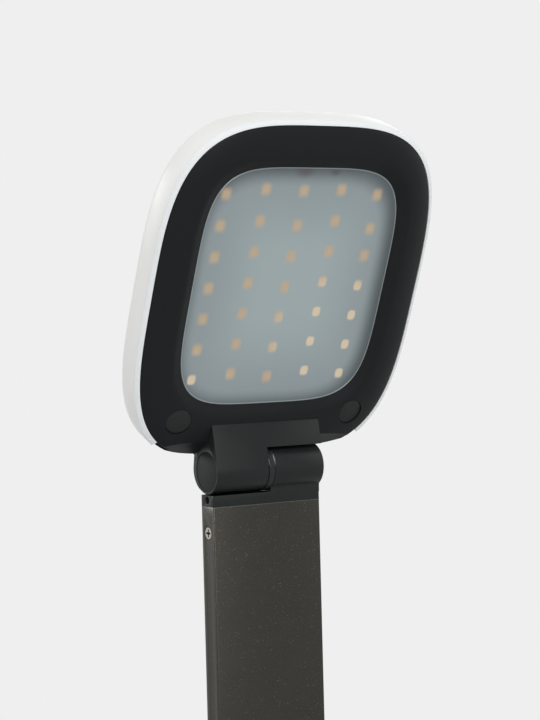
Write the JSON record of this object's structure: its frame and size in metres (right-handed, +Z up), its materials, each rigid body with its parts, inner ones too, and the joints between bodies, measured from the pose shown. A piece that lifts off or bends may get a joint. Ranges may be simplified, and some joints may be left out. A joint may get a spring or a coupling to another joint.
{
  "type": "folding desk lamp",
  "caption": "Folding LED desk lamp with a squircle light head and a flat arm, hinged at both ends, on a weighted squircle base.",
  "frame": {"origin": "on the table, under the middle of the base", "axes": "+Z up, LEDs face -Y at rest, X along both hinge axes"},
  "size_m": [0.12, 0.15, 0.4278],
  "materials": {
    "gloss_white": "glossy moulded white ABS",
    "black_shell": "satin black moulded ABS",
    "diffuser": "frosted acrylic sheet",
    "white_inner": "matt white moulded plastic",
    "board_white": "white solder mask on an aluminium board",
    "led": "phosphor-filled LED packages",
    "screw_steel": "nickel-plated steel",
    "wire": "soft insulated copper wire",
    "rubber": "matt black rubber",
    "hinge_black": "satin black painted zinc and aluminium casting",
    "cap_black": "fine-textured black plastic",
    "shaft_steel": "turned steel, oiled",
    "ring_steel": "blackened steel ring with bright bevelled edges",
    "arm_paint": "dark olive-grey metallic paint with fine sparkle on extruded aluminium",
    "weight_steel": "zinc-plated steel plate",
    "board_green": "green circuit board",
    "socket_steel": "tin-plated sheet steel",
    "button_black": "soft satin black button"
  },
  "bodies": {
    "base": {"hinge_block": "hinge_black", "block_end_cap": "cap_black", "hinge_block_screws": "screw_steel", "base_top_cover": "black_shell", "base_shell": "gloss_white", "base_bottom_plate": "black_shell", "base_weight": "weight_steel", "rubber_feet": "rubber", "base_screws": "screw_steel", "control_board": "board_green", "control_board_screws": "screw_steel", "switch_housing": "cap_black", "power_board": "board_green", "power_board_screws": "screw_steel", "usb_socket": "socket_steel", "base_wires": "wire"},
    "arm": {"upper_shaft": "shaft_steel", "upper_spacer_ring": "ring_steel", "upper_spring_washers": "shaft_steel", "upper_lock_nut": "shaft_steel", "arm_top_knuckle": "hinge_black", "upper_end_cap": "cap_black", "arm_tube": "arm_paint", "arm_top_screws": "screw_steel", "arm_bottom_knuckle": "hinge_black", "arm_bottom_screws": "screw_steel", "lower_end_cap": "cap_black", "arm_wires": "wire", "lower_shaft": "shaft_steel", "lower_spacer_ring": "ring_steel", "lower_spring_washers": "shaft_steel", "lower_lock_nut": "shaft_steel"},
    "head": {"head_rear_cover": "gloss_white", "head_bezel": "black_shell", "diffuser": "diffuser", "reflector_frame": "white_inner", "led_board": "board_white", "leds": "led", "led_board_screws": "screw_steel", "head_wires": "wire", "head_screws": "screw_steel", "screw_plugs": "rubber", "hinge_leaf": "hinge_black", "leaf_screws": "screw_steel", "leaf_end_cap": "cap_black"},
    "button": {"power_button": "button_black", "switch_plunger": "white_inner"}
  },
  "joints": [
    {"name": "arm_fold", "type": "hinge", "parent": "base", "child": "arm", "pos_m": [0, 0.048, 0.0272], "axis": [1, 0, 0], "range_deg": [-15, 90]},
    {"name": "head_tilt", "type": "hinge", "parent": "arm", "child": "head", "pos_m": [0, 0.048, 0.3272], "axis": [1, 0, 0], "range_deg": [-33, 96]},
    {"name": "button_press", "type": "slide", "parent": "base", "child": "button", "axis": [0, 0, -1], "range_m": [0, 0.001], "stiffness_N_per_m": 1500, "springref_m": -0.001}
  ]
}
